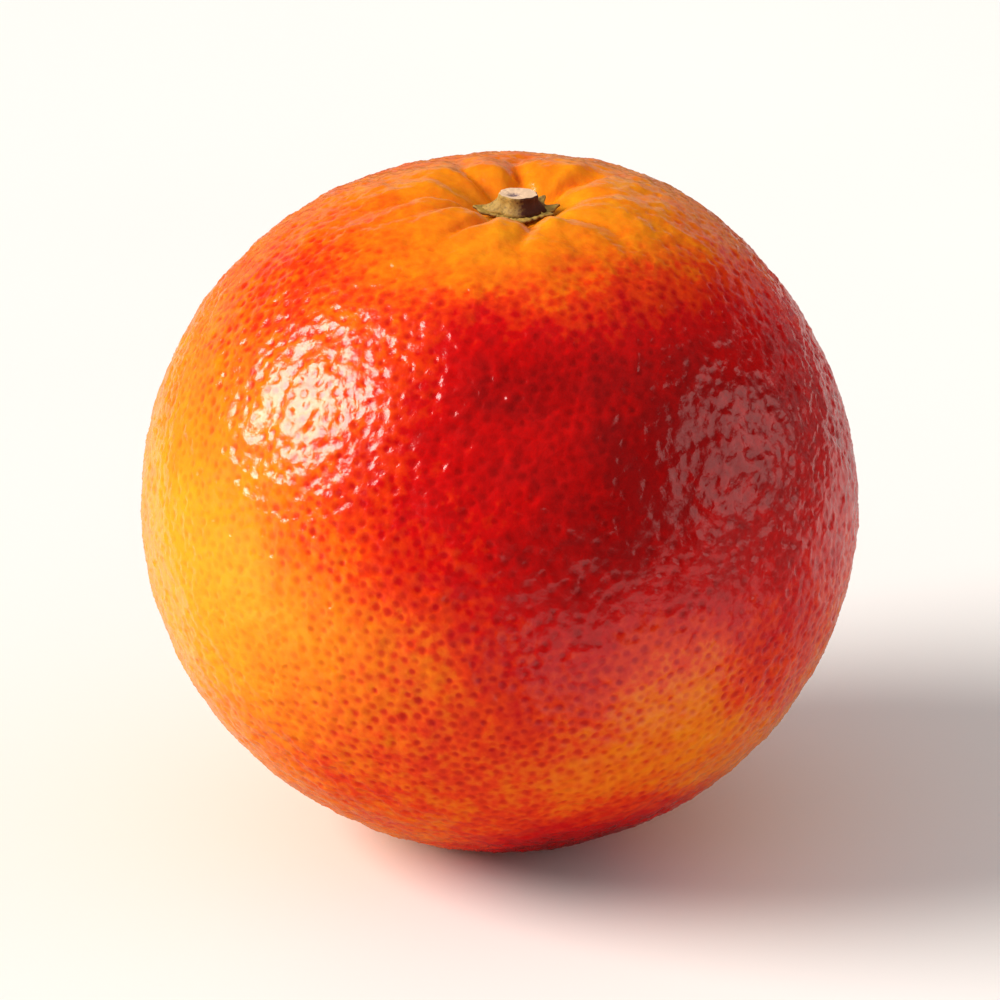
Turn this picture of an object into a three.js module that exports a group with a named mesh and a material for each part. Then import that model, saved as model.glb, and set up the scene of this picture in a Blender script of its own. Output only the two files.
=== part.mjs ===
// A whole blood orange, resting on its blossom end: one grown fruit, the dried calyx at its stem end and
// the stub of its cut stalk.
//
// Millimetres, +Z up. The origin is the centre of the small flat that the fruit rests on.

import * as THREE from 'three';
import { mergeVertices } from 'three/addons/utils/BufferGeometryUtils.js';

// ---------------------------------------------------------------- driving dimensions (mm)

// The fruit.
const fruitDiameter = 76;
const crownRise = 38;            // widest section up to where a round crown would peak
const crownDrop = 0.95;          // how far the flattened middle of the crown lies below a round one
const crownDropInner = 11;       // out to this radius the crown has dropped all the way
const crownDropOuter = 24;       // from this radius out it is round
const bodyDrop = 36.1;           // widest section down to the resting flat
const flatDiameter = 16;         // the flat at the blossom end that the fruit rests on

// The hollow at the stem end, and the furrows that run out from it like the folds of a drawn bag.
const hollowDepth = 5;           // round crown's peak down to the seat of the calyx
const hollowSpread = 2.9;        // how far out from the seat the hollow has risen by two thirds
const hollowSteepness = 1.5;     // how suddenly the hollow's side turns up: 1 is at once, 2 is slowly
const furrowCount = 9;
const furrowDepth = 1.1;
const furrowLength = 14;         // from the seat's edge outwards
const furrowTurn = -80;          // degrees round from +X to the first furrow
const stemShift = 1.9;           // the stem end grew a little to the +X side of the middle

// The calyx: a star of five short sepals.
const calyxSpan = 9.2;           // across the tips
const calyxThickness = 0.9;
const calyxRim = 0.4;            // thickness at the tips
const sepalCount = 5;
const sepalNotch = 1.3;          // how far the star is cut in between two tips
const sepalTurn = -80;           // degrees round from +X to the first tip
const seatMargin = 0.3;          // flat seat left around the tips

// The stub of stalk.
const stalkDiameter = 4.2;
const stalkFlare = 0.35;         // how much wider each side is where it meets the calyx
const stalkHeight = 1.5;
const stalkDepthRatio = 0.8;     // the stub is oval: its size along Y over its size along X
const pithDiameter = 2;          // the shrunken pith in the cut face
const pithDepth = 0.3;

// ---------------------------------------------------------------- what follows from them

const fruitRadius = fruitDiameter / 2;
const flatRadius = flatDiameter / 2;
const calyxRadius = calyxSpan / 2;
const seatRadius = calyxRadius + seatMargin;
const seatHeight = bodyDrop + crownRise - hollowDepth;
const stalkSeat = seatHeight + calyxThickness;

const radians = THREE.MathUtils.degToRad;

// ---------------------------------------------------------------- helpers

// Turns a profile of [radius, height] points about the Z axis. The profile starts and ends on the axis.
function turned(profile, segments) {
  const points = profile.map(([radius, height]) => new THREE.Vector2(radius, height));
  const lathe = new THREE.LatheGeometry(points, segments);
  lathe.rotateX(Math.PI / 2);
  lathe.deleteAttribute('normal');
  lathe.deleteAttribute('uv');
  return mergeVertices(lathe);
}

// Moves each vertex of a geometry with move(point), then works out its normals again.
function reshaped(geometry, move) {
  const position = geometry.attributes.position;
  const point = new THREE.Vector3();
  for (let i = 0; i < position.count; i += 1) {
    point.fromBufferAttribute(position, i);
    move(point);
    position.setXYZ(i, point.x, point.y, point.z);
  }
  geometry.computeVertexNormals();
  return geometry;
}

function steps(count) {
  return Array.from({ length: count }, (_, i) => (i + 1) / count);
}

function part(name, geometry, colour, roughness) {
  const material = new THREE.MeshStandardMaterial({ color: colour, roughness, metalness: 0 });
  const mesh = new THREE.Mesh(geometry, material);
  mesh.name = name;
  return mesh;
}

// ---------------------------------------------------------------- the fruit

// Height of the crown at a distance from the axis. It leaves the seat level and rises back to the dome.
function crownHeight(radius) {
  const round = bodyDrop + crownRise * Math.sqrt(Math.max(0, 1 - (radius / fruitRadius) ** 2));
  const kept = THREE.MathUtils.smoothstep(radius, crownDropInner, crownDropOuter);
  const dome = round - crownDrop * (1 - kept);
  const away = Math.max(0, radius - seatRadius) / hollowSpread;
  return seatHeight + (dome - seatHeight) * (1 - Math.exp(-(away ** hollowSteepness)));
}

// The profile runs from the middle of the resting flat, round the widest section, to the middle of the seat.
function fruitProfile() {
  const flatSine = flatRadius / fruitRadius;
  const flatAngle = Math.asin(flatSine);
  const bellyDrop = bodyDrop / Math.cos(flatAngle);
  const below = steps(16).map((share) => {
    const angle = THREE.MathUtils.lerp(flatAngle, Math.PI / 2, share);
    return [fruitRadius * Math.sin(angle), bodyDrop - bellyDrop * Math.cos(angle)];
  });
  const seatAngle = Math.asin(seatRadius / fruitRadius);
  const above = steps(24).map((share) => {
    const angle = THREE.MathUtils.lerp(Math.PI / 2, seatAngle, share);
    const radius = fruitRadius * Math.sin(angle);
    return [radius, crownHeight(radius)];
  });
  return [[0, 0], [flatRadius, 0], ...below, ...above, [0, seatHeight]];
}

// How deep the furrows are at a point of the crown: nothing at the seat's edge, deepest a third of the
// way out, and faded to nothing at their ends.
function furrowAt(radius, angle) {
  const along = (radius - seatRadius) / furrowLength;
  if (along <= 0 || along >= 1) {
    return 0;
  }
  const fade = 6.75 * along * (1 - along) ** 2;
  const turn = furrowCount * (angle - radians(furrowTurn));
  const valley = ((1 + Math.cos(turn)) / 2) ** 3;
  return furrowDepth * fade * valley;
}

// Cuts the furrows into the crown, and leans the crown so that its middle lies over the stem end.
function growCrown(point) {
  if (point.z <= bodyDrop) {
    return;
  }
  const radius = Math.hypot(point.x, point.y);
  point.z -= furrowAt(radius, Math.atan2(point.y, point.x));
  point.x += stemShift * (1 - (radius / fruitRadius) ** 2) ** 2;
}

const fruit = part('fruit', reshaped(turned(fruitProfile(), 72), growCrown), 0xe2641c, 0.35);

// ---------------------------------------------------------------- the calyx

// A low button with a flat underside, thickest in the middle where the stalk stands.
function calyxProfile() {
  const topRadius = stalkDiameter / 2 + stalkFlare + 0.2;
  return [
    [0, 0],
    [calyxRadius, 0],
    [calyxRadius, calyxRim],
    [topRadius, calyxThickness],
    [0, calyxThickness],
  ];
}

// Draws the edge in between the tips, leaving the middle under the stalk as it is.
function cutSepals(point) {
  const radius = Math.hypot(point.x, point.y);
  if (radius < calyxRadius * 0.9) {
    return;
  }
  const turn = sepalCount * (Math.atan2(point.y, point.x) - radians(sepalTurn));
  const notch = sepalNotch * (1 - Math.cos(turn)) / 2;
  const scale = (radius - notch) / radius;
  point.x *= scale;
  point.y *= scale;
}

const calyx = part('calyx', reshaped(turned(calyxProfile(), 40), cutSepals), 0x8a7a3c, 0.75);
calyx.position.set(stemShift, 0, seatHeight);

// ---------------------------------------------------------------- the stalk

// A short stub, a little flared at its foot, with its cut edge broken and its pith shrunk below the face.
function stalkProfile() {
  const radius = stalkDiameter / 2;
  const brokenEdge = 0.15;
  return [
    [0, 0],
    [radius + stalkFlare, 0],
    [radius, stalkHeight / 2],
    [radius, stalkHeight - brokenEdge],
    [radius - brokenEdge, stalkHeight],
    [pithDiameter / 2, stalkHeight],
    [0, stalkHeight - pithDepth],
  ];
}

function flattenStalk(point) {
  point.y *= stalkDepthRatio;
}

const stalk = part('stalk', reshaped(turned(stalkProfile(), 32), flattenStalk), 0xb9a884, 0.8);
stalk.position.set(stemShift, 0, stalkSeat);

// ---------------------------------------------------------------- the whole orange

const orange = new THREE.Group();
orange.add(fruit, calyx, stalk);

export default orange;
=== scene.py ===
"""Grows the looks of a whole blood orange over its CAD solids: its rind, dried calyx and cut stalk.

Everything is in metres, in the frame of the CAD model: +Z up, with the fruit resting on the plane z = 0
and its blushed front facing -Y.
"""

import math

import bmesh
import bpy
import numpy as np
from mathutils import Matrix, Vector, kdtree, noise


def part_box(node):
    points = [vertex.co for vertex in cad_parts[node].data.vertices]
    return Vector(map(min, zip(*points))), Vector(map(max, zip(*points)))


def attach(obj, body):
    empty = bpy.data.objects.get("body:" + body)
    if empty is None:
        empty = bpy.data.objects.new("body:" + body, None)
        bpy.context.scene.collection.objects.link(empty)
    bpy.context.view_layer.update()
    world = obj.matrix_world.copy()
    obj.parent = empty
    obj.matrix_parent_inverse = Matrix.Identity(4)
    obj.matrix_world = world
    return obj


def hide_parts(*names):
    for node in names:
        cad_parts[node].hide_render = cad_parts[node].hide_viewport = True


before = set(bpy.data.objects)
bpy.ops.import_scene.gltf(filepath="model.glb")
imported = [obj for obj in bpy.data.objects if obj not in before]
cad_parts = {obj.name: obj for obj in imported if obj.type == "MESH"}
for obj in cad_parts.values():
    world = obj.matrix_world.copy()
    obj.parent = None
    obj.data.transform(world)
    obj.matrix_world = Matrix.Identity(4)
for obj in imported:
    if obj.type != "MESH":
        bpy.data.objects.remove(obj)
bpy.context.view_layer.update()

bl_info = {
    "name": "Blood orange",
    "version": (1, 0, 0),
    "blender": (4, 5, 0),
    "location": "3D View > Sidebar > Blood orange",
    "description": "Grows the rind, calyx and cut stalk of a whole blood orange over its CAD solids",
    "category": "Add Mesh",
}

# ---- the frame

MM = 0.001

FRUIT_LOW, FRUIT_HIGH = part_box("fruit")
CALYX_LOW, CALYX_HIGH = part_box("calyx")
STALK_LOW, STALK_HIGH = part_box("stalk")

FRUIT_RADIUS = (FRUIT_HIGH.x - FRUIT_LOW.x) / 2
CALYX_RADIUS = (CALYX_HIGH.y - CALYX_LOW.y) / 2
STEM_X = (STALK_LOW.x + STALK_HIGH.x) / 2
SEAT_HEIGHT = CALYX_LOW.z


def widest_height():
    """Height of the fruit's widest section above the surface that it rests on."""
    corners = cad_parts["fruit"].data.vertices
    return max(corners, key=lambda corner: corner.co.xy.length).co.z


BELLY_HEIGHT = widest_height()

# ---- colours


def linear(hex_colour):
    """An sRGB hex colour as linear red, green and blue."""
    channels = (int(hex_colour[i : i + 2], 16) / 255 for i in (1, 3, 5))
    return tuple(c / 12.92 if c <= 0.04045 else ((c + 0.055) / 1.055) ** 2.4 for c in channels)


def colour_property(name, description, hex_colour):
    """A colour that a user can change."""
    return bpy.props.FloatVectorProperty(
        name=name, description=description, default=linear(hex_colour), subtype="COLOR", min=0, max=1
    )


def length_property(name, description, default):
    """A length in metres that a user can change."""
    return bpy.props.FloatProperty(
        name=name, description=description, default=default, min=0, unit="LENGTH", subtype="DISTANCE"
    )


# ---- settings


class RindSettings(bpy.types.PropertyGroup):
    """Sizes and colours of the fruit and its rind."""

    flat_radius: length_property("Flat radius", "Radius of the flat that the fruit rests on", 8 * MM)
    gland_spacing: length_property("Gland spacing", "Least distance between two large oil glands", 1.22 * MM)
    filler_spacing: length_property("Filler spacing", "Least distance from a small oil gland", 0.95 * MM)
    gland_radius: length_property("Gland radius", "Radius of the dimple over a large oil gland", 0.66 * MM)
    gland_depth: length_property("Gland depth", "Depth of the dimple over a large oil gland", 0.23 * MM)
    swell_height: length_property("Swell height", "Height of the broad unevenness of the fruit", 0.15 * MM)
    ripple_height: length_property("Ripple height", "Height of the ripples across the rind", 0.18 * MM)
    pucker_height: length_property("Pucker height", "Height of the small puckers between glands", 0.17 * MM)
    furrow_depth: length_property("Furrow depth", "Depth of the deepest furrow at the stem end", 1.9 * MM)
    fold_height: length_property("Fold height", "Height of the fine folds round the stalk", 0.36 * MM)
    yellow: colour_property("Yellow", "Rind that has coloured least", "#F39E14")
    orange: colour_property("Orange", "Ripe orange rind", "#F37C08")
    vermilion: colour_property("Vermilion", "Rind where the blush begins", "#E93A04")
    red: colour_property("Red", "Blushed rind", "#CE0303")
    crimson: colour_property("Crimson", "Rind where the blush is deepest", "#9A0203")


class CalyxSettings(bpy.types.PropertyGroup):
    """Sizes and colours of the dried sepals."""

    rim_thickness: length_property("Rim thickness", "Thickness of the sepals near their tips", 0.3 * MM)
    wrinkle_height: length_property("Wrinkle height", "Height of the dried wrinkles", 0.06 * MM)
    olive: colour_property("Olive", "Dried green of the sepals", "#B08D3C")
    # Umber also paints the underside of the sepals, as painted shade.
    umber: colour_property("Umber", "Brown in the folds and at the edges", "#54300F")


class StalkSettings(bpy.types.PropertyGroup):
    """Sizes and colours of the stub of stalk."""

    cut_tilt: bpy.props.FloatProperty(
        name="Cut tilt",
        description="Angle of the cut face, falling away to the back",
        default=math.radians(2),
        unit="ROTATION",
        subtype="ANGLE",
    )
    bark: colour_property("Bark", "Skin of the stalk", "#B28E42")
    # Painted shade: the dark brown on the stub's side turned from the key light.
    painted_shade_brown: colour_property("Browned bark", "Bark on the side that has dried brown", "#4A1E0A")
    wood: colour_property("Wood", "Dried wood in the cut face", "#E2BE9C")
    pith: colour_property("Pith", "Shrunken pith in the cut face", "#7A6468")


class StageSettings(bpy.types.PropertyGroup):
    """Camera, lights and floor."""

    camera_rise: bpy.props.FloatProperty(
        name="Camera rise",
        description="Angle of the camera above the horizon",
        default=math.radians(23.5),
        unit="ROTATION",
        subtype="ANGLE",
    )
    camera_distance: length_property("Camera distance", "From the camera to the middle of the fruit", 1.5)
    view_width: length_property("View width", "Width of the view at the middle of the fruit", 106 * MM)
    aim_rise: length_property("Aim rise", "Height of the view's middle above the widest section", 0.2 * MM)
    floor_size: length_property("Floor size", "Side of the floor", 6.0)
    key_strength: bpy.props.FloatProperty(
        name="Key strength", description="Irradiance from the key light, in W/m2", default=4.0, min=0
    )
    panel_strength: bpy.props.FloatProperty(
        name="Panel strength", description="Irradiance from the dim side panel, in W/m2", default=0.82, min=0
    )


# ---- small tools


# Numbers of the colour sockets of a mix node, which shares its sockets' names with its other kinds of value.
MIX_FIRST = 6
MIX_SECOND = 7
MIX_RESULT = 2


def add_node(tree, kind, options=None, inputs=None, stops=()):
    """Adds a shader node: sets its options, sets or links its inputs, and lays out a ramp's stops.

    Inputs go by name, or by number where a node gives the same name to more than one.
    """
    node = tree.nodes.new(kind)
    for name, value in (options or {}).items():
        setattr(node, name, value)
    for name, value in (inputs or {}).items():
        if isinstance(value, bpy.types.NodeSocket):
            tree.links.new(value, node.inputs[name])
        else:
            node.inputs[name].default_value = value
    if stops:
        elements = node.color_ramp.elements
        while len(elements) < len(stops):
            elements.new(1.0)
        for element, (position, colour) in zip(elements, stops):
            element.position = position
            element.color = (*colour, 1.0)
    return node


def grey(level):
    """A number as the colour of a ramp's stop."""
    return (level, level, level)


def new_material(name):
    """A material with one Principled shader, its node tree and that shader."""
    material = bpy.data.materials.new(name)
    material.use_nodes = True
    return material, material.node_tree, material.node_tree.nodes["Principled BSDF"]


def smoothstep(low, high, value):
    """0 below low and 1 above high, with a smooth rise between them."""
    share = np.clip((value - low) / (high - low), 0, 1)
    return share * share * (3 - 2 * share)


# How far apart in the noise two seeds lie.
SEED_STEP = (17.3, 5.9, 11.7)


def noise_at(points, grain, seed):
    """Smooth noise, about -1 to 1, with bumps about a grain wide, at each of the points."""
    shift = Vector([seed * step for step in SEED_STEP])
    return np.array([noise.noise(Vector(point) / grain + shift) for point in points])


def add_piece(name, points, faces, materials, node):
    """A smooth mesh object that rides on the root body and stands for a CAD node."""
    mesh = bpy.data.meshes.new(name)
    mesh.from_pydata(points.tolist(), [], faces)
    mesh.shade_smooth()
    for material in materials:
        mesh.materials.append(material)
    piece = bpy.data.objects.new(name, mesh)
    bpy.context.scene.collection.objects.link(piece)
    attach(piece, "root")
    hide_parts(node)
    return piece


def turns_from(angle, degrees):
    """How far each angle, in radians, lies from a direction in degrees: -180 to 180 degrees."""
    return np.degrees(np.angle(np.exp(1j * (angle - math.radians(degrees)))))


def store(piece, name, values, domain="POINT"):
    """Keeps a number or a vector for each point or face corner, under a name that the material reads."""
    values = np.asarray(values, np.float32)
    kind, field = ("FLOAT", "value") if values.ndim == 1 else ("FLOAT_VECTOR", "vector")
    attribute = piece.data.attributes.new(name, kind, domain)
    attribute.data.foreach_set(field, values.ravel())


# ---- fruit shape

# Furrows round the stem end: azimuth in degrees from the front towards +X, share of the full depth, and
# how far from the stalk they reach.
FURROWS = (
    (6, 1.0, 16 * MM),
    (-31, 0.9, 19 * MM),
    (-66, 0.45, 14 * MM),
    (-92, 0.8, 20 * MM),
    (-122, 0.4, 13 * MM),
    (-152, 0.75, 18 * MM),
    (174, 1.0, 18 * MM),
    (132, 0.85, 19 * MM),
    (92, 0.6, 15 * MM),
    (48, 0.8, 20 * MM),
)

# How a furrow runs: it sways from side to side, in radians and over a length; its bottom is rounded; it is
# this wide at the stalk and widens by a share of its distance from it; and it begins between two distances.
FURROW_SWAY = 0.1
FURROW_SWAY_LENGTH = 2.9 * MM
FURROW_ROUNDING = 0.2 * MM
FURROW_WIDTH = 0.5 * MM
FURROW_WIDENING = 0.08
FURROW_START = (2.4 * MM, 5 * MM)

# The crown: a dome with a flattened middle, and the hollow that holds the calyx. Its ridges swell up closest
# to the calyx in front.
CROWN_DROP = 1.0 * MM
CROWN_DROP_REACH = (11 * MM, 24 * MM)
HOLLOW_START_FRONT = 2.7 * MM
HOLLOW_START_BACK = 3.6 * MM
HOLLOW_SPREAD_FRONT = 3.1 * MM
HOLLOW_SPREAD_BACK = 4.2 * MM
HOLLOW_STEEPNESS = 1.5

# Fine folds that run out from the stalk. They are noise along a circle of this radius, in bumps, so about
# thirty fit round the stalk; each is this long, and they show between these distances from it.
FOLD_CIRCLE = 5
FOLD_LENGTH = 4 * MM
FOLD_START = (3 * MM, 7 * MM)
FOLD_END = (12 * MM, 26 * MM)
FOLD_SEED = 12

# Where the fruit grew a little flat: azimuth and elevation in degrees, spread in degrees, and depth.
FLATS = (
    (112, 40, 32, 0.4 * MM),
    (-175, 60, 24, 0.25 * MM),
)

# How softly the underside turns into the flat that the fruit rests on.
FLAT_ROUNDING = 0.25 * MM


def crown_height(reach, azimuth):
    """Height of the ridges of the crown at a reach from the stalk and an azimuth in radians."""
    dome = BELLY_HEIGHT + FRUIT_RADIUS * np.sqrt(np.clip(1 - (reach / FRUIT_RADIUS) ** 2, 0, 1))
    dome = dome - CROWN_DROP * (1 - smoothstep(*CROWN_DROP_REACH, reach))
    to_front = (1 + np.cos(azimuth)) / 2
    start = HOLLOW_START_BACK + (HOLLOW_START_FRONT - HOLLOW_START_BACK) * to_front
    spread = HOLLOW_SPREAD_BACK + (HOLLOW_SPREAD_FRONT - HOLLOW_SPREAD_BACK) * to_front
    away = np.maximum(0, reach - start) / spread
    rise = 1 - np.exp(-(away**HOLLOW_STEEPNESS))
    return np.where(dome > SEAT_HEIGHT, SEAT_HEIGHT + (dome - SEAT_HEIGHT) * rise, dome)


def furrow_drop(reach, azimuth, depth):
    """How deep the furrows cut at a reach from the stalk and an azimuth in radians."""
    drop = np.zeros_like(reach)
    for degrees, share, length in FURROWS:
        sway = FURROW_SWAY * np.sin(reach / FURROW_SWAY_LENGTH + degrees)
        turn = azimuth - math.radians(degrees) - sway
        across = np.hypot(reach * np.sin(turn), FURROW_ROUNDING)
        ahead = smoothstep(0.0, 0.5, np.cos(turn))
        width = FURROW_WIDTH + FURROW_WIDENING * reach
        fade = smoothstep(*FURROW_START, reach) * (1 - smoothstep(0.3, 1.0, reach / length))
        drop += share * depth * fade * ahead * np.exp(-across / width)
    return drop


def direction_of(azimuth, elevation):
    """Unit vector at an azimuth from the front towards +X and an elevation, both in degrees."""
    turn, lift = math.radians(azimuth), math.radians(elevation)
    return np.array([math.sin(turn) * math.cos(lift), -math.cos(turn) * math.cos(lift), math.sin(lift)])


def degrees_away(directions, azimuth, elevation):
    """Angle in degrees between each unit vector and the direction at an azimuth and an elevation."""
    return np.degrees(np.arccos(np.clip(directions @ direction_of(azimuth, elevation), -1, 1)))


def folds_at(reach, azimuth):
    """Fine folds, about -1 to 1, at a reach from the stalk and an azimuth in radians."""
    around = [FOLD_CIRCLE * np.cos(azimuth), FOLD_CIRCLE * np.sin(azimuth), reach / FOLD_LENGTH]
    shown = smoothstep(*FOLD_START, reach) * (1 - smoothstep(*FOLD_END, reach))
    return noise_at(np.stack(around, 1), 1.0, FOLD_SEED) * shown


def fruit_points(directions, flat_radius, furrow_depth, fold_height):
    """The smooth surface of the fruit, in the direction of each unit vector from its middle."""
    sine = np.hypot(directions[:, 0], directions[:, 1])
    rise = directions[:, 2]
    reach = FRUIT_RADIUS * sine
    azimuth = np.arctan2(directions[:, 0], -directions[:, 1])
    above = rise > 0

    crown = crown_height(reach, azimuth) - furrow_drop(reach, azimuth, furrow_depth)
    crown = crown + fold_height * folds_at(reach, azimuth)

    drop = BELLY_HEIGHT / math.sqrt(1 - (flat_radius / FRUIT_RADIUS) ** 2)
    base = BELLY_HEIGHT + drop * rise
    base = (base + np.sqrt(base * base + FLAT_ROUNDING * FLAT_ROUNDING)) / 2

    lean = np.where(above, STEM_X * (1 - sine**2) ** 2, 0)
    height = np.where(above, crown, base)
    points = np.stack([reach * np.sin(azimuth) + lean, -reach * np.cos(azimuth), height], 1)
    for turn, lift, spread, depth in FLATS:
        away = degrees_away(directions, turn, lift) / spread
        points -= directions * (depth * np.exp(-(away**2)))[:, None]
    return points


# ---- rind mesh


def scattered_directions(spacings, tries, random):
    """Unit vectors strewn at random, and how many of them came from each spacing.

    Each round strews them as closely as its spacing, in radians, allows among those already there.
    """
    tried = random.normal(size=(tries, 3))
    tried /= np.linalg.norm(tried, axis=1)[:, None]
    tree = kdtree.KDTree(tries)
    for index, direction in enumerate(tried):
        tree.insert(direction, index)
    tree.balance()
    kept, counts = [], []
    for spacing in spacings:
        free = np.ones(tries, bool)
        for index in kept:
            free[[near for _, near, _ in tree.find_range(tried[index], spacing)]] = False
        before = len(kept)
        for index in range(tries):
            if free[index]:
                kept.append(index)
                free[[near for _, near, _ in tree.find_range(tried[index], spacing)]] = False
        counts.append(len(kept) - before)
    return tried[kept], counts


def net_between(directions):
    """Triangles that join each direction to its neighbours, facing out: the hull of points on a ball."""
    hull = bmesh.new()
    for direction in directions:
        hull.verts.new(direction)
    hull.verts.index_update()
    bmesh.ops.convex_hull(hull, input=hull.verts)
    triangles = np.array([[corner.index for corner in face.verts] for face in hull.faces])
    hull.free()
    a, b, c = (directions[triangles[:, i]] for i in range(3))
    inward = np.einsum("ij,ij->i", np.cross(b - a, c - a), a) < 0
    triangles[inward] = triangles[inward][:, ::-1]
    return triangles


# The ring round a gland reaches at most this share of the way to its nearest neighbour.
RING_SHARE = 0.46


def divided_net(directions, triangles, ring):
    """Splits each triangle between three glands into nine, with a ring of points round every gland.

    ring is the ring's radius at each gland, in radians. Returns all directions, glands first, then ring
    points, then middles; the gland that each ring point belongs to; the faces; the gland that each face
    belongs to, or -1 for the faces that lie between two glands; and the radius of each ring as it was made.
    """
    count = len(directions)
    sides = np.concatenate([triangles[:, [0, 1]], triangles[:, [1, 2]], triangles[:, [2, 0]]])
    edges, which = np.unique(np.sort(sides, axis=1), axis=0, return_inverse=True)
    which = which.reshape(3, -1)
    owners = edges.reshape(-1)
    apart = directions[edges[:, ::-1].reshape(-1)] - directions[owners]
    distance = np.linalg.norm(apart, axis=1)
    nearest = np.full(count, np.inf)
    np.minimum.at(nearest, owners, distance)
    ring = np.minimum(ring, RING_SHARE * nearest)
    ring_points = directions[owners] + apart * (ring[owners] / distance)[:, None]
    middles = directions[triangles].sum(1)

    def near(side, end):
        """Index of the ring point on a side of each triangle, by the end at which it lies."""
        first = triangles[:, side] == edges[which[side], 0]
        return count + 2 * which[side] + np.where(first, end, 1 - end)

    a, b, c = triangles.T
    ab, ba = near(0, 0), near(0, 1)
    bc, cb = near(1, 0), near(1, 1)
    ca, ac = near(2, 0), near(2, 1)
    middle = count + len(owners) + np.arange(len(triangles))
    between = np.full(len(triangles), -1)
    parts = (
        (a, ab, ac, a),
        (b, bc, ba, b),
        (c, ca, cb, c),
        (middle, ac, ab, a),
        (middle, ba, bc, b),
        (middle, cb, ca, c),
        (middle, ab, ba, between),
        (middle, bc, cb, between),
        (middle, ca, ac, between),
    )
    faces = np.concatenate([np.stack(part[:3], 1) for part in parts])
    face_glands = np.concatenate([part[3] for part in parts])
    everything = np.concatenate([directions, ring_points, middles])
    everything /= np.linalg.norm(everything, axis=1)[:, None]
    return everything, owners, faces, face_glands, ring


# ---- blush

# The blush of plain rind, what a furrow adds to it as painted shade, and how far and how broadly the
# patches' borders waver.
BLUSH_BASE = 0.18
FURROW_PAINTED_SHADE = 0.16
WAVER = 0.12
WAVER_GRAIN = 14 * MM
WAVER_SEEDS = (3, 4, 5)

# Patches of colour: azimuth in degrees from the front towards +X, elevation in degrees, how far the patch
# spreads in degrees, and how much it adds to the blush, or takes away. The lowest patch is painted shade.
BLUSH_PATCHES = (
    (6, 38, 22, 0.43),
    (-8, 43, 14, 0.37),
    (4, 34, 11, -0.2),
    (34, 44, 14, 0.1),
    (64, 42, 18, 0.13),
    (8, 58, 12, 0.04),
    (42, 27, 26, 0.52),
    (84, 20, 28, 0.55),
    (12, 8, 20, 0.42),
    (-20, 17, 20, 0.34),
    (28, 20, 14, 0.14),
    (5, -8, 15, 0.13),
    (-64, 48, 22, 0.33),
    (-66, 0, 30, -0.22),
    (34, -20, 20, -0.12),
    (50, -6, 24, 0.34),
    (-8, -28, 26, 0.25),
    (-14, 1, 12, -0.08),
    (-40, 8, 12, -0.06),
    (-36, -34, 16, 0.14),
    # Painted shade: deep red along the lowest rim, where the fruit meets the table.
    (24, -58, 17, 0.85),
    (7, 48, 9, 0.08),
    (0, 78, 24, -0.13),
    (150, 8, 32, 0.45),
    (-150, 35, 28, 0.25),
    (-140, -25, 30, -0.15),
    (170, -45, 26, 0.2),
)


def blush_at(directions, points, furrows):
    """How far the rind has turned from yellow, 0, through orange and red to deep crimson, 1.

    furrows is how deep the furrows cut at each point, over their full depth: the blush rises in them as
    painted shade.
    """
    # Painted shade: the furrows are made redder and darker.
    blush = BLUSH_BASE + FURROW_PAINTED_SHADE * furrows
    waver = np.stack([noise_at(points, WAVER_GRAIN, seed) for seed in WAVER_SEEDS], 1)
    wavering = directions + WAVER * waver
    wavering /= np.linalg.norm(wavering, axis=1)[:, None]
    for azimuth, elevation, spread, amount in BLUSH_PATCHES:
        blush += amount * np.exp(-((degrees_away(wavering, azimuth, elevation) / spread) ** 2))
    return blush


# ---- materials


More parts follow.
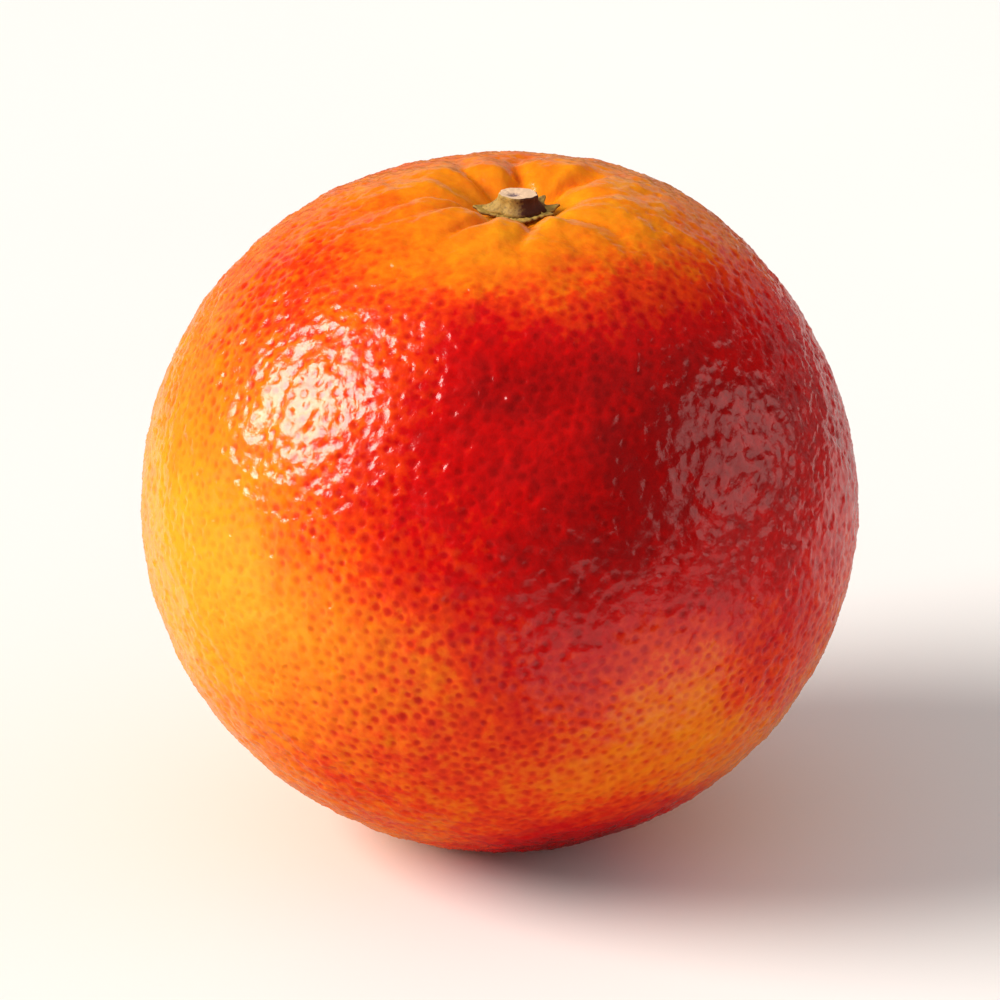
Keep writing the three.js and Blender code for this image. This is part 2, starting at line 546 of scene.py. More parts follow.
def waxed_citrus_rind(settings):
    """Ripe citrus rind, waxed.

    Carotenes colour the whole flavedo yellow to orange, and anthocyanin reddens it in patches, first in the
    oil glands, so every gland shows as a redder dot, until the skin between is as red; the colour is also
    darkened over each gland's dimple. The wax gives a clear gloss over the grown dimples, and light goes a
    little way into the oily skin.
    """
    material, tree, principled = new_material("waxed_citrus_rind")
    place = add_node(tree, "ShaderNodeTexCoord").outputs["Object"]
    blush = add_node(tree, "ShaderNodeAttribute", {"attribute_name": "blush"}).outputs["Fac"]
    offset = add_node(tree, "ShaderNodeAttribute", {"attribute_name": "gland_offset"}).outputs["Vector"]
    strength = add_node(tree, "ShaderNodeAttribute", {"attribute_name": "gland_strength"}).outputs["Fac"]

    # Clouds of pigment about 4 mm wide shift the blush a little either way.
    cloud_size = 4 * MM
    clouds = add_node(
        tree,
        "ShaderNodeTexNoise",
        inputs={"Vector": place, "Scale": 1 / cloud_size, "Detail": 3.0, "Roughness": 0.6},
    ).outputs["Fac"]
    cloud_shift = add_node(
        tree,
        "ShaderNodeMapRange",
        inputs={"Value": clouds, "From Min": 0.3, "From Max": 0.7, "To Min": -0.08, "To Max": 0.08},
    ).outputs["Result"]

    # Flecks about 1.2 mm wide are strongest where orange turns to red.
    fleck_size = 1.2 * MM
    flecks = add_node(
        tree, "ShaderNodeTexNoise", inputs={"Vector": place, "Scale": 1 / fleck_size, "Detail": 4.0}
    ).outputs["Fac"]
    fleck_level = add_node(
        tree,
        "ShaderNodeMapRange",
        inputs={"Value": flecks, "From Min": 0.3, "From Max": 0.7, "To Min": -1.0, "To Max": 1.0},
    ).outputs["Result"]
    fleck_gain = add_node(
        tree,
        "ShaderNodeValToRGB",
        inputs={"Fac": blush},
        stops=((0.2, grey(0.04)), (0.5, grey(0.1)), (0.75, grey(0.08))),
    ).outputs["Color"]
    fleck_shift = add_node(
        tree, "ShaderNodeMath", {"operation": "MULTIPLY"}, {0: fleck_level, 1: fleck_gain}
    ).outputs["Value"]

    # A soft dot over each gland, that rises to full strength from 1.2 to 0.2 gland radii from its middle.
    away = add_node(tree, "ShaderNodeVectorMath", {"operation": "LENGTH"}, {0: offset}).outputs["Value"]
    spot = add_node(
        tree,
        "ShaderNodeMapRange",
        {"interpolation_type": "SMOOTHSTEP"},
        {"Value": away, "From Min": 1.2, "From Max": 0.2, "To Min": 0.0, "To Max": 1.0},
    ).outputs["Result"]
    dot = add_node(tree, "ShaderNodeMath", {"operation": "MULTIPLY"}, {0: spot, 1: strength}).outputs["Value"]
    dot_gain = add_node(
        tree,
        "ShaderNodeValToRGB",
        inputs={"Fac": blush},
        stops=((0.1, grey(0.07)), (0.45, grey(0.14)), (0.8, grey(0.05))),
    ).outputs["Color"]
    dot_rise = add_node(
        tree, "ShaderNodeMath", {"operation": "MULTIPLY"}, {0: dot, 1: dot_gain}
    ).outputs["Value"]

    level = blush
    for shift in (dot_rise, cloud_shift, fleck_shift):
        level = add_node(tree, "ShaderNodeMath", {"operation": "ADD"}, {0: level, 1: shift}).outputs["Value"]
    colour = add_node(
        tree,
        "ShaderNodeValToRGB",
        inputs={"Fac": level},
        stops=(
            (0.0, settings.yellow),
            (0.25, settings.orange),
            (0.5, settings.vermilion),
            (0.72, settings.red),
            (1.0, settings.crimson),
        ),
    ).outputs["Color"]
    # Darkens the colour over each gland's dimple, most where the dot adds most.
    shade = add_node(
        tree,
        "ShaderNodeMapRange",
        inputs={"Value": dot_rise, "From Min": 0.0, "From Max": 0.14, "To Min": 1.0, "To Max": 0.84},
    ).outputs["Result"]
    shaded = add_node(tree, "ShaderNodeVectorMath", {"operation": "SCALE"}, {0: colour, "Scale": shade})
    tree.links.new(shaded.outputs["Vector"], principled.inputs["Base Color"])

    # Fine grain of the wax and skin, about 0.8 mm wide. The gloss dulls a little where the clouds are thick.
    grain_size = 0.8 * MM
    grain = add_node(
        tree, "ShaderNodeTexNoise", inputs={"Vector": place, "Scale": 1 / grain_size, "Detail": 3.0}
    ).outputs["Fac"]
    bump = add_node(
        tree, "ShaderNodeBump", inputs={"Height": grain, "Strength": 1.0, "Distance": 0.09 * MM}
    ).outputs["Normal"]
    tree.links.new(bump, principled.inputs["Normal"])
    roughness = add_node(
        tree,
        "ShaderNodeMapRange",
        inputs={"Value": clouds, "From Min": 0.3, "From Max": 0.7, "To Min": 0.16, "To Max": 0.23},
    ).outputs["Result"]
    tree.links.new(roughness, principled.inputs["Roughness"])
    principled.inputs["IOR"].default_value = 1.5
    principled.inputs["Subsurface Weight"].default_value = 0.12
    principled.inputs["Subsurface Radius"].default_value = (1.0, 0.35, 0.12)
    principled.inputs["Subsurface Scale"].default_value = 0.8 * MM
    return material


def dried_sepal(settings):
    """Dried green sepals: thin fibrous leaf that withered on the tree.

    Drying drew it into wrinkles and turned its edges brown; it is browner where the wrinkles dip, and its
    underside is painted brown as shade. It is matt.
    """
    material, tree, principled = new_material("dried_sepal")
    place = add_node(tree, "ShaderNodeTexCoord").outputs["Object"]
    # Browner in the wrinkles' dips and at the rim, with painted shade on the underside.
    fold = add_node(tree, "ShaderNodeAttribute", {"attribute_name": "fold"}).outputs["Fac"]
    fibre_size = 0.35 * MM
    flecks = add_node(
        tree, "ShaderNodeTexNoise", inputs={"Vector": place, "Scale": 1 / fibre_size, "Detail": 4.0}
    ).outputs["Fac"]
    brown = add_node(tree, "ShaderNodeMath", {"operation": "ADD"}, {0: fold, 1: flecks})
    colour = add_node(
        tree,
        "ShaderNodeValToRGB",
        inputs={"Fac": brown.outputs[0]},
        stops=((0.5, settings.olive), (1.0, settings.umber)),
    ).outputs["Color"]
    tree.links.new(colour, principled.inputs["Base Color"])
    bump = add_node(
        tree, "ShaderNodeBump", inputs={"Height": flecks, "Strength": 0.8, "Distance": 0.06 * MM}
    ).outputs["Normal"]
    tree.links.new(bump, principled.inputs["Normal"])
    principled.inputs["Roughness"].default_value = 0.75
    principled.inputs["IOR"].default_value = 1.45
    return material


def dried_bark(settings):
    """Skin of a young citrus stalk: green bark that dried once the fruit was cut.

    Drying turned it khaki. The dark brown on the side turned from the key light is painted shade. It is
    fine-grained and dull.
    """
    material, tree, principled = new_material("dried_bark")
    place = add_node(tree, "ShaderNodeTexCoord").outputs["Object"]
    side_shade = add_node(tree, "ShaderNodeAttribute", {"attribute_name": "side_shade"}).outputs["Fac"]
    grain_size = 0.3 * MM
    flecks = add_node(
        tree, "ShaderNodeTexNoise", inputs={"Vector": place, "Scale": 1 / grain_size, "Detail": 4.0}
    ).outputs["Fac"]
    pore_shade = 0.35
    shade = tuple(pore_shade * channel for channel in settings.bark)
    skin = add_node(
        tree, "ShaderNodeValToRGB", inputs={"Fac": flecks}, stops=((0.25, shade), (0.5, settings.bark))
    ).outputs["Color"]
    # The painted shade on the side turned from the key light, broken up by the flecks.
    uneven = add_node(tree, "ShaderNodeMath", {"operation": "ADD"}, {0: side_shade, 1: flecks}).outputs["Value"]
    share = add_node(
        tree, "ShaderNodeMapRange", inputs={"Value": uneven, "From Min": 0.7, "From Max": 1.15}
    ).outputs["Result"]
    colour = add_node(
        tree,
        "ShaderNodeMix",
        {"data_type": "RGBA"},
        {"Factor": share, MIX_FIRST: skin, MIX_SECOND: (*settings.painted_shade_brown, 1.0)},
    ).outputs[MIX_RESULT]
    tree.links.new(colour, principled.inputs["Base Color"])
    bump = add_node(
        tree, "ShaderNodeBump", inputs={"Height": flecks, "Strength": 0.8, "Distance": 0.05 * MM}
    ).outputs["Normal"]
    tree.links.new(bump, principled.inputs["Normal"])
    principled.inputs["Roughness"].default_value = 0.7
    principled.inputs["IOR"].default_value = 1.45
    return material


def cut_greenwood(settings):
    """Citrus stalk, cut across with a blade and left to dry.

    The cut shows pale, slightly pink fibre, dull and rough, round a shrunken grey pith.
    """
    material, tree, principled = new_material("cut_greenwood")
    place = add_node(tree, "ShaderNodeTexCoord").outputs["Object"]
    pith = add_node(tree, "ShaderNodeAttribute", {"attribute_name": "pith"}).outputs["Fac"]
    fibre_size = 0.22 * MM
    fibres = add_node(
        tree, "ShaderNodeTexNoise", inputs={"Vector": place, "Scale": 1 / fibre_size, "Detail": 4.0}
    ).outputs["Fac"]
    spread = add_node(
        tree,
        "ShaderNodeMapRange",
        inputs={"Value": fibres, "From Min": 0.3, "From Max": 0.7, "To Min": -0.25, "To Max": 0.25},
    ).outputs["Result"]
    level = add_node(tree, "ShaderNodeMath", {"operation": "ADD"}, {0: pith, 1: spread}).outputs["Value"]
    colour = add_node(
        tree,
        "ShaderNodeValToRGB",
        inputs={"Fac": level},
        stops=((0.2, settings.wood), (0.8, settings.pith)),
    ).outputs["Color"]
    tree.links.new(colour, principled.inputs["Base Color"])
    bump = add_node(
        tree, "ShaderNodeBump", inputs={"Height": fibres, "Strength": 0.8, "Distance": 0.04 * MM}
    ).outputs["Normal"]
    tree.links.new(bump, principled.inputs["Normal"])
    principled.inputs["Roughness"].default_value = 0.8
    principled.inputs["IOR"].default_value = 1.45
    return material


# The two round parts of the table that gloss sees: middle, and the radii between which they darken.
LIT_ROUNDS = (
    ((20 * MM, 190 * MM, 0), 185 * MM, 220 * MM),
    ((100 * MM, -110 * MM, 0), 75 * MM, 110 * MM),
)
# How much of the table's paleness is lost to gloss, inside these rounds and outside them.
LIT_SHADE = 0.3
FLAGGED_SHADE = 0.97


def matt_white_board(size):
    """Coated paper board for a table top: pressed smooth, matt and near white, with a faint unevenness.

    Gloss sees it dark outside two rounds, as behind black flags, so that it doesn't veil the red rind.
    """
    material, tree, principled = new_material("matt_white_board")
    place = add_node(tree, "ShaderNodeTexCoord").outputs["Object"]
    cloud_size = size / 40
    tone = add_node(
        tree, "ShaderNodeTexNoise", inputs={"Vector": place, "Scale": 1 / cloud_size, "Detail": 2.0}
    )
    colour = add_node(
        tree,
        "ShaderNodeValToRGB",
        inputs={"Fac": tone.outputs["Fac"]},
        stops=((0.3, linear("#F3F2F0")), (0.7, linear("#F7F6F4"))),
    ).outputs["Color"]
    flags = []
    for centre, inner, outer in LIT_ROUNDS:
        away = add_node(tree, "ShaderNodeVectorMath", {"operation": "DISTANCE"}, {0: place, 1: centre})
        flag = add_node(
            tree,
            "ShaderNodeMapRange",
            {"interpolation_type": "SMOOTHSTEP"},
            {
                "Value": away.outputs["Value"],
                "From Min": inner,
                "From Max": outer,
                "To Min": LIT_SHADE,
                "To Max": FLAGGED_SHADE,
            },
        )
        flags.append(flag.outputs["Result"])
    flag = add_node(
        tree, "ShaderNodeMath", {"operation": "MINIMUM"}, {0: flags[0], 1: flags[1]}
    ).outputs["Value"]
    glossy = add_node(tree, "ShaderNodeLightPath").outputs["Is Glossy Ray"]
    share = add_node(tree, "ShaderNodeMath", {"operation": "MULTIPLY"}, {0: flag, 1: glossy}).outputs["Value"]
    flagged = add_node(
        tree,
        "ShaderNodeMix",
        {"data_type": "RGBA"},
        {"Factor": share, MIX_FIRST: colour, MIX_SECOND: (0.0, 0.0, 0.0, 1.0)},
    ).outputs[MIX_RESULT]
    tree.links.new(flagged, principled.inputs["Base Color"])
    principled.inputs["Roughness"].default_value = 0.6
    return material


# ---- polar meshes


def polar_faces(rings, around):
    """Faces of rings of points, facing out of a solid that rises from its first ring to its last.

    Each end is closed round one point of its own: the first of all the points, and the last.
    """
    ring = 1 + around * np.arange(rings)[:, None] + np.arange(around)
    after = np.roll(ring, -1, axis=1)
    faces = np.stack([ring[:-1], after[:-1], after[1:], ring[1:]], -1).reshape(-1, 4).tolist()
    faces += [[0, b, a] for a, b in zip(ring[0].tolist(), after[0].tolist())]
    end = 1 + around * rings
    faces += [[a, b, end] for a, b in zip(ring[-1].tolist(), after[-1].tolist())]
    return faces


# ---- operators


# Where the glands are strewn: the seed of the draws, and how many places are tried.
GLAND_SEED = 11
GLAND_TRIES = 120000

# How strong large and small glands are, as a mean and a spread, and the least and most of any gland.
LARGE_GLANDS = (0.95, 0.18)
SMALL_GLANDS = (0.45, 0.16)
GLAND_LIMITS = (0.12, 1.3)

# How deep a gland's dimple is in its middle and at its ring, for a gland of strength 1, over the gland depth.
DIMPLE_MIDDLE = 0.85
DIMPLE_RING = 0.35

# The relief's grains and seeds, and the distances from the stalk over which the tight skin there opens out.
SWELL_GRAIN, SWELL_SEED = 24 * MM, 1
RIPPLE_GRAIN, RIPPLE_SEED = 4.5 * MM, 2
PUCKER_GRAIN, PUCKER_SEED = 1.5 * MM, 6
OPEN_SKIN = (5 * MM, 20 * MM)

# The relief fades out over this height above the table, so that the flat stays flat.
RESTING_HEIGHT = 0.6 * MM

# The glands redden between these distances from the stalk, and between these heights over the fruit's radius,
# from the weakest share at the stalk or at the blossom end.
RED_REACH = (10 * MM, 32 * MM)
WEAKEST_AT_STALK = 0.15
RED_RISE = (-0.75, -0.25)
WEAKEST_BELOW = 0.4


class ORANGE_OT_rind(bpy.types.Operator):
    """Grow the fruit with its dimpled and blushed rind"""

    bl_idname = "orange.rind"
    bl_label = "Grow the fruit"

    def execute(self, context):
        settings = context.scene.orange_rind
        random = np.random.default_rng(GLAND_SEED)
        spacings = [settings.gland_spacing / FRUIT_RADIUS, settings.filler_spacing / FRUIT_RADIUS]
        glands, (large, small) = scattered_directions(spacings, GLAND_TRIES, random)
        strength = np.concatenate([random.normal(*LARGE_GLANDS, large), random.normal(*SMALL_GLANDS, small)])
        strength = np.clip(strength, *GLAND_LIMITS)
        # A gland's radius follows a little less than half of its strength.
        ring = settings.gland_radius / FRUIT_RADIUS * (0.55 + 0.45 * strength)
        directions, owners, faces, face_glands, ring = divided_net(glands, net_between(glands), ring)

        smooth = fruit_points(directions, settings.flat_radius, settings.furrow_depth, settings.fold_height)
        dimple = np.zeros(len(smooth))
        dimple[: len(glands)] = DIMPLE_MIDDLE * strength
        dimple[len(glands) : len(glands) + len(owners)] = DIMPLE_RING * strength[owners]

        reach = np.hypot(smooth[:, 0] - STEM_X, smooth[:, 1])
        reach[directions[:, 2] < 0] = FRUIT_RADIUS
        open_skin = smoothstep(*OPEN_SKIN, reach)
        relief = settings.swell_height * noise_at(smooth, SWELL_GRAIN, SWELL_SEED)
        relief += settings.ripple_height * noise_at(smooth, RIPPLE_GRAIN, RIPPLE_SEED)
        puckers = noise_at(smooth, PUCKER_GRAIN, PUCKER_SEED)
        relief += settings.pucker_height * puckers * (0.5 + 0.5 * open_skin)
        relief -= settings.gland_depth * dimple * (0.3 + 0.7 * open_skin)
        resting = smoothstep(0, RESTING_HEIGHT, smooth[:, 2])
        points = smooth + directions * (relief * resting)[:, None]
        points[:, 2] = np.maximum(points[:, 2], 0)

        piece = add_piece("rind", points, faces.tolist(), [waxed_citrus_rind(settings)], "fruit")
        azimuth = np.arctan2(directions[:, 0], -directions[:, 1])
        # How deep the furrows cut, for the painted shade that the blush adds in them.
        furrows = furrow_drop(reach, azimuth, 1.0)
        store(piece, "blush", blush_at(directions, points, furrows))

        # How far each face corner is from the middle of its gland, in gland radii, or far for no gland.
        owned = face_glands >= 0
        gland = np.where(owned, face_glands, 0)
        offset = (points[faces] - points[gland][:, None]) / (ring[gland] * FRUIT_RADIUS)[:, None, None]
        offset[~owned] = (2, 0, 0)
        store(piece, "gland_offset", offset.reshape(-1, 3), "CORNER")
        redness = strength * (
            WEAKEST_AT_STALK + (1 - WEAKEST_AT_STALK) * smoothstep(*RED_REACH, reach[: len(glands)])
        )
        redness *= WEAKEST_BELOW + (1 - WEAKEST_BELOW) * smoothstep(*RED_RISE, glands[:, 2])
        store(piece, "gland_strength", np.repeat(redness[gland], 3), "CORNER")
        return {"FINISHED"}


# Sepals: azimuth of the tip in degrees from the front towards +X, length over the calyx's radius, half width
# in degrees, and how far the tip stands above the seat.
SEPALS = (
    (14, 0.86, 30, 0.4 * MM),
    (66, 0.95, 15, 0.45 * MM),
    (94, 1.0, 15, 0.7 * MM),
    (130, 0.8, 16, 0.9 * MM),
    (-160, 0.84, 26, 0.3 * MM),
    (-88, 1.07, 22, 0.75 * MM),
    (-42, 0.72, 18, 0.3 * MM),
)

# The disc that joins the sepals: its radius over the calyx's, and how far its edge stands above the seat. The
# sharpness is a power: 1 gives a sepal a pointed tip, and 2 a round one.
DISC_SHARE = 0.58
DISC_LIFT = 0.3 * MM
SEPAL_SHARPNESS = 1.3

# How brown the dips of the wrinkles, the rim and the underside are. The underside's brown is painted shade.
FOLD_BROWN = 0.4
RIM_BROWN = 0.35
UNDERSIDE_SHADE = 0.45


class ORANGE_OT_calyx(bpy.types.Operator):
    """Lay the dried calyx in the hollow of the stem end"""

    bl_idname = "orange.calyx"
    bl_label = "Lay the calyx"

    def execute(self, context):
        settings = context.scene.orange_calyx
        around, rings = 180, 26
        angle = np.linspace(0, 2 * np.pi, around, endpoint=False)
        edge = np.full(around, DISC_SHARE)
        lift = np.full(around, DISC_LIFT)
        for degrees, length, width, rise in SEPALS:
            near = np.exp(-((np.abs(turns_from(angle, degrees)) / width) ** SEPAL_SHARPNESS))
            edge = np.maximum(edge, DISC_SHARE + (length - DISC_SHARE) * near)
            lift = np.maximum(lift, rise * near)

        # Nibbled edges, then rings from near the middle out to the edge, over a mound that meets the stub.
        edge *= 1 + 0.05 * np.sin(9 * angle + 1) + 0.03 * np.sin(23 * angle)
        out = np.linspace(0.03, 1, rings)[:, None]
        reach = out * edge * CALYX_RADIUS
        middle = CALYX_HIGH.z - SEAT_HEIGHT
        top = middle + (settings.rim_thickness - middle) * smoothstep(0.35, 0.8, out) + lift * out**2
        across = np.stack([reach * np.sin(angle), -reach * np.cos(angle), top], -1)

        # Dried wrinkles, with rays that run out from the stub.
        flat = across.reshape(-1, 3)
        grain = np.stack([flat[:, 0], flat[:, 1], flat[:, 2] * 0.3], 1)
        wrinkle = noise_at(grain, 0.9 * MM, 7) + 0.6 * noise_at(grain, 0.4 * MM, 8)
        rays = np.sin(31 * angle + 3 * np.sin(5 * angle)) * np.clip(out * 1.6 - 0.4, 0, 1)
        height = wrinkle.reshape(rings, around) + 0.35 * rays
        across[..., 2] += settings.wrinkle_height * height

        # The underside follows the top, a thickness below it that grows from the rim to the middle.
        under = across[::-1].copy()
        extra = (middle - settings.rim_thickness) * (1 - smoothstep(0.2, 0.7, out))
        under[..., 2] -= (settings.rim_thickness + extra)[::-1]
        rim = (across[-1:] + under[:1]) / 2
        rim[..., :2] *= 1.015
        rows = np.concatenate([across, rim, under])
        rows[..., 0] += STEM_X
        rows[..., 2] += SEAT_HEIGHT
        points = rows.reshape(-1, 3)
        top_point = rows[0].mean(0)
        low_point = rows[-1].mean(0)
        points = np.concatenate([top_point[None], points, low_point[None]])
        # The rows run out over the top and back underneath, so each face is turned over to face outward.
        faces = [face[::-1] for face in polar_faces(len(rows), around)]
        folds = np.clip(-height, -0.6, 1).ravel() * FOLD_BROWN
        fold = np.concatenate([[0], folds, np.full(around, RIM_BROWN)])
        # The underside is painted brown as shade.
        fold = np.concatenate([fold, np.full(len(points) - len(fold), UNDERSIDE_SHADE)])
        piece = add_piece("calyx_leaves", points, faces, [dried_sepal(settings)], "calyx")
        store(piece, "fold", fold)
        return {"FINISHED"}


# Where the stub's foot runs out into the calyx: azimuth in degrees, how far over the stub's half width, and
# the half width of the spur in degrees.
SPURS = (
    (-92, 0.5, 32),
    (10, 0.12, 30),
    (110, 0.25, 30),
    (-170, 0.2, 35),
)

# The side of the stub painted dark brown as shade, the side turned from the key light: its azimuth and
# half width in degrees.
SHADED_SIDE = 52
SHADE_WIDTH = 60

# Rings of the stub, as shares of the foot's half width and of the height: up the bark, over the cut edge, and
# in across the cut face.
BARK_RINGS = (
    (1.15, -0.2),
    (1.0, 0.0),
    (0.94, 0.15),
    (0.89, 0.3),
    (0.86, 0.45),
    (0.85, 0.6),
    (0.86, 0.75),
    (0.87, 0.88),
)
EDGE_RINGS = ((0.86, 0.96), (0.83, 0.995), (0.78, 1.0))
CUT_RINGS = tuple((share, 0.985) for share in np.linspace(0.72, 0.06, 10))

# The pith: its middle, as shares of the stub's half widths, its radius as a share of them, and its depth.
PITH_PLACE = (-0.2, -0.08)
PITH_RADIUS = 0.28
PITH_DEPTH = 0.28 * MM

# How rough the bark and the cut face are.
BARK_ROUGHNESS = 0.09 * MM
CUT_ROUGHNESS = 0.07 * MM

# How far the lowest ring is let down into the calyx.
STUB_SINK = 0.07 * MM


class ORANGE_OT_stalk(bpy.types.Operator):
    """Stand the cut stub of stalk on the calyx"""

    bl_idname = "orange.stalk"
    bl_label = "Stand the stalk"

    def execute(self, context):
        settings = context.scene.orange_stalk
        around = 120
        angle = np.linspace(0, 2 * np.pi, around, endpoint=False)
        half_x = (STALK_HIGH.x - STALK_LOW.x) / 2
        half_y = (STALK_HIGH.y - STALK_LOW.y) / 2
        height = STALK_HIGH.z - STALK_LOW.z
        bark_rings = len(BARK_RINGS) + len(EDGE_RINGS) - 1
        spur = sum(reach * np.exp(-((turns_from(angle, turn) / width) ** 2)) for turn, reach, width in SPURS)
        wobble = 1 + 0.05 * np.sin(2 * angle + 0.6)
        wobble = wobble + 0.035 * np.sin(5 * angle + 2) + 0.02 * np.sin(11 * angle)
        rows = []
        for share, level in BARK_RINGS + EDGE_RINGS + CUT_RINGS:
            wide = (share + spur * (1 - max(level, 0)) ** 2) * wobble
            x = wide * half_x * np.sin(angle)
            y = -wide * half_y * np.cos(angle)
            z = np.full(around, level * height)
            rows.append(np.stack([x, y, z], -1))
        rows = np.array(rows)
        flat = rows.reshape(-1, 3)
        rough = (noise_at(flat, 0.5 * MM, 9) + 0.5 * noise_at(flat, 0.22 * MM, 10)).reshape(rows.shape[:2])
        outward = rows[..., :2] / np.linalg.norm(rows[..., :2], axis=-1)[..., None]
        on_bark = np.arange(len(rows)) < bark_rings
        rows[..., :2] += outward * (rough * on_bark[:, None] * BARK_ROUGHNESS)[..., None]
        from_pith = np.hypot(rows[..., 0] / half_x - PITH_PLACE[0], rows[..., 1] / half_y - PITH_PLACE[1])
        pith = np.exp(-((from_pith / PITH_RADIUS) ** 2)) * ~on_bark[:, None]
        rows[..., 2] += np.where(on_bark[:, None], 0, CUT_ROUGHNESS * rough - PITH_DEPTH * pith)
        rows[..., 2] -= np.clip(rows[..., 2] / height, 0, 1) * rows[..., 1] * math.tan(settings.cut_tilt)
        rows += np.array([STEM_X, 0, STALK_LOW.z - STUB_SINK])
        points = rows.reshape(-1, 3)
        low_point, top_point = rows[0].mean(0), rows[-1].mean(0)
        points = np.concatenate([low_point[None], points, top_point[None]])
        faces = polar_faces(len(rows), around)
        materials = [dried_bark(settings), cut_greenwood(settings)]
        piece = add_piece("cut_stalk", points, faces, materials, "stalk")
        store(piece, "pith", np.concatenate([[0], pith.ravel(), [0.5]]))
        # Painted shade on the side of the stub turned from the key light.
        side_shade = np.exp(-((turns_from(angle, SHADED_SIDE) / SHADE_WIDTH) ** 2))
        store(piece, "side_shade", np.concatenate([[0], np.tile(side_shade, len(rows)), [0]]))
        for polygon in piece.data.polygons:
            first = min(polygon.vertices) - 1
            polygon.material_index = int(first >= (bark_rings - 1) * around)
        return {"FINISHED"}


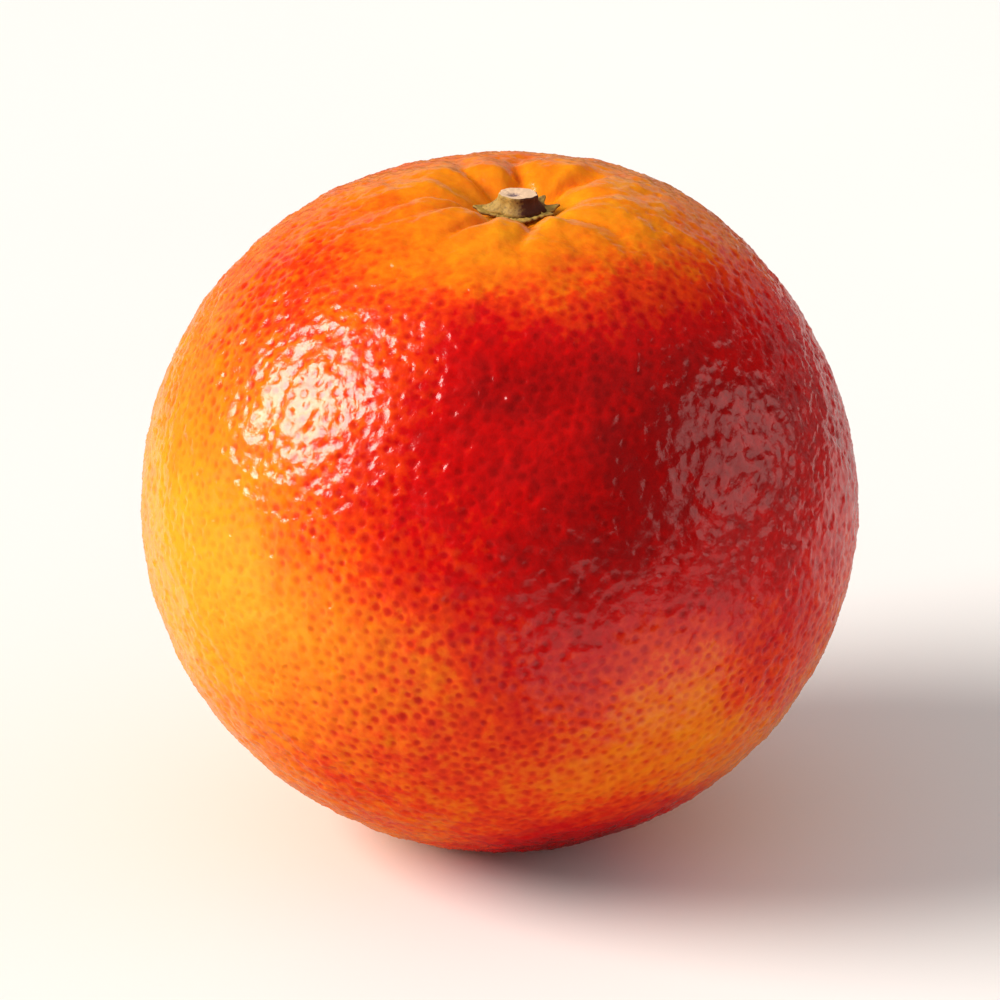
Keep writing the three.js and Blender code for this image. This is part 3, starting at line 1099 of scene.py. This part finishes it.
class ORANGE_OT_stage(bpy.types.Operator):
    """Set the floor, the lights and the camera"""

    bl_idname = "orange.stage"
    bl_label = "Set the stage"

    def execute(self, context):
        settings = context.scene.orange_stage
        middle = Vector((0, 0, BELLY_HEIGHT + settings.aim_rise))
        self.add_floor(settings.floor_size)
        self.add_light("key_softbox", settings.key_strength, "#FFF8F0", azimuth=-84, elevation=33, across=34)
        self.add_light("side_panel", settings.panel_strength, "#FFF6F0", azimuth=86, elevation=1, across=54)
        self.add_camera(middle, settings)
        self.add_world(context.scene)
        return {"FINISHED"}

    def add_floor(self, size):
        mesh = bpy.data.meshes.new("table_top")
        half = size / 2
        corners = [(-half, -half, 0), (half, -half, 0), (half, half, 0), (-half, half, 0)]
        mesh.from_pydata(corners, [], [(0, 1, 2, 3)])
        mesh.materials.append(matt_white_board(size))
        table_top = bpy.data.objects.new("table_top", mesh)
        bpy.context.scene.collection.objects.link(table_top)

    def add_light(self, name, strength, hex_colour, azimuth, elevation, across):
        """A distant soft light. Its azimuth from the front towards +X, elevation and width are in degrees."""
        lamp = bpy.data.lights.new(name, "SUN")
        lamp.angle = math.radians(across)
        lamp.energy = strength
        lamp.color = linear(hex_colour)
        aim = Vector(direction_of(azimuth, elevation))
        light = bpy.data.objects.new(name, lamp)
        light.location = aim
        light.rotation_euler = aim.to_track_quat("Z", "Y").to_euler()
        bpy.context.scene.collection.objects.link(light)

    def add_camera(self, middle, settings):
        lens = bpy.data.cameras.new("camera")
        lens.sensor_width = 36
        lens.lens = lens.sensor_width * settings.camera_distance / settings.view_width
        lens.clip_start = 0.01
        back = Vector((0, -math.cos(settings.camera_rise), math.sin(settings.camera_rise)))
        camera = bpy.data.objects.new("camera", lens)
        camera.location = middle + back * settings.camera_distance
        camera.rotation_euler = back.to_track_quat("Z", "Y").to_euler()
        bpy.context.scene.collection.objects.link(camera)
        bpy.context.scene.camera = camera

    def add_world(self, scene):
        """A pale room, brighter overhead, that gloss shows only as a glow from low behind the fruit.

        Gloss would otherwise mirror the room as a grey veil over the red rind.
        """
        seen = 0.9
        light_level, light_overhead = 0.25, 0.62
        gloss_least, gloss_most = 0.02, 0.4
        world = bpy.data.worlds.new("pale_room")
        world.use_nodes = True
        tree = world.node_tree
        background = tree.nodes["Background"]
        direction = add_node(tree, "ShaderNodeTexCoord").outputs["Generated"]
        behind = add_node(
            tree, "ShaderNodeVectorMath", {"operation": "DOT_PRODUCT"}, {0: direction, 1: (0, 0.8, -1.6)}
        ).outputs["Value"]
        glow = add_node(
            tree,
            "ShaderNodeMapRange",
            inputs={
                "Value": behind,
                "From Min": 0.1,
                "From Max": 0.55,
                "To Min": gloss_least,
                "To Max": gloss_most,
            },
        ).outputs["Result"]
        height = add_node(tree, "ShaderNodeSeparateXYZ", inputs={"Vector": direction}).outputs["Z"]
        ceiling = add_node(
            tree,
            "ShaderNodeMapRange",
            inputs={"Value": height, "To Min": light_level, "To Max": light_overhead},
        ).outputs["Result"]
        rays = add_node(tree, "ShaderNodeLightPath").outputs
        fill = add_node(
            tree,
            "ShaderNodeMix",
            {"data_type": "FLOAT"},
            {"Factor": rays["Is Camera Ray"], "A": ceiling, "B": seen},
        ).outputs["Result"]
        strength = add_node(
            tree,
            "ShaderNodeMix",
            {"data_type": "FLOAT"},
            {"Factor": rays["Is Glossy Ray"], "A": fill, "B": glow},
        ).outputs["Result"]
        background.inputs["Color"].default_value = (*linear("#FFFFFF"), 1)
        tree.links.new(strength, background.inputs["Strength"])
        scene.world = world
        scene.view_settings.view_transform = "Standard"


class ORANGE_PT_panel(bpy.types.Panel):
    """Settings and steps of the blood orange, in the 3D view's sidebar"""

    bl_idname = "ORANGE_PT_panel"
    bl_label = "Blood orange"
    bl_space_type = "VIEW_3D"
    bl_region_type = "UI"
    bl_category = "Blood orange"

    def draw(self, context):
        for group, operator in STEPS:
            box = self.layout.box()
            settings = getattr(context.scene, group)
            for name in settings.__annotations__:
                box.prop(settings, name)
            box.operator(operator.bl_idname)


# ---- registration

STEPS = (
    ("orange_rind", ORANGE_OT_rind),
    ("orange_calyx", ORANGE_OT_calyx),
    ("orange_stalk", ORANGE_OT_stalk),
    ("orange_stage", ORANGE_OT_stage),
)
SETTINGS = {
    "orange_rind": RindSettings,
    "orange_calyx": CalyxSettings,
    "orange_stalk": StalkSettings,
    "orange_stage": StageSettings,
}
CLASSES = (*SETTINGS.values(), *(operator for _, operator in STEPS), ORANGE_PT_panel)


def register():
    for cls in CLASSES:
        bpy.utils.register_class(cls)
    for name, cls in SETTINGS.items():
        setattr(bpy.types.Scene, name, bpy.props.PointerProperty(type=cls))


def unregister():
    for name in SETTINGS:
        delattr(bpy.types.Scene, name)
    for cls in reversed(CLASSES):
        bpy.utils.unregister_class(cls)


def main():
    register()
    bpy.ops.orange.rind()
    bpy.ops.orange.calyx()
    bpy.ops.orange.stalk()
    bpy.ops.orange.stage()


if __name__ == "__main__":
    main()
